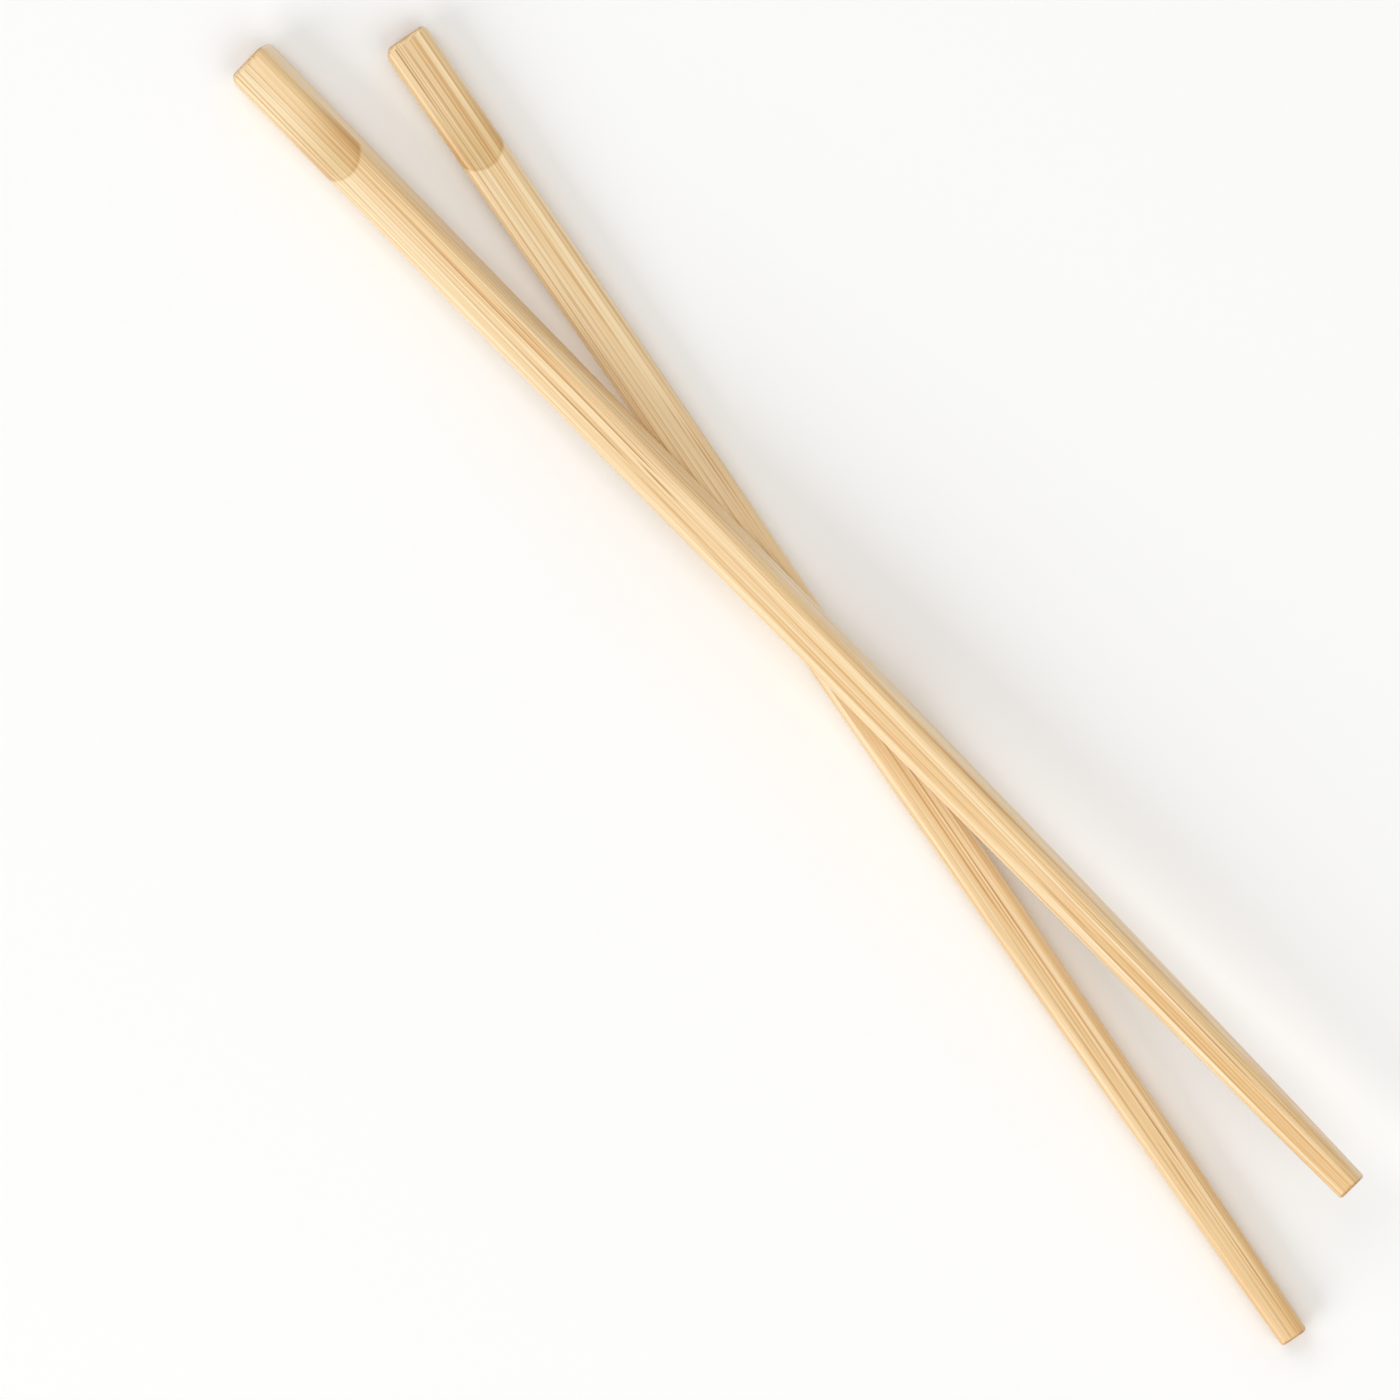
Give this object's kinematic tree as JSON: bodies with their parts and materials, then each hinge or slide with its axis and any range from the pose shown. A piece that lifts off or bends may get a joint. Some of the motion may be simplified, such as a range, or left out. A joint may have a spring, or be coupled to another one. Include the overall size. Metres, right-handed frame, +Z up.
{
  "type": "bamboo chopsticks",
  "caption": "Plain disposable bamboo chopsticks with rounded-square heads, a patch of natural skin on top and slim tips, lying crossed as they come to rest.",
  "frame": {"origin": "under the middle of the crossed pair, on the surface that it lies on", "axes": "+X runs midway between the sticks from their heads to their tips, +Y across them, +Z up"},
  "size_m": [0.2204, 0.0246, 0.0161],
  "materials": {
    "bamboo": "milled and tumbled, unvarnished, with a faint sheen"
  },
  "bodies": {
    "root": {"under_chopstick": "bamboo", "over_chopstick": "bamboo"}
  },
  "joints": []
}
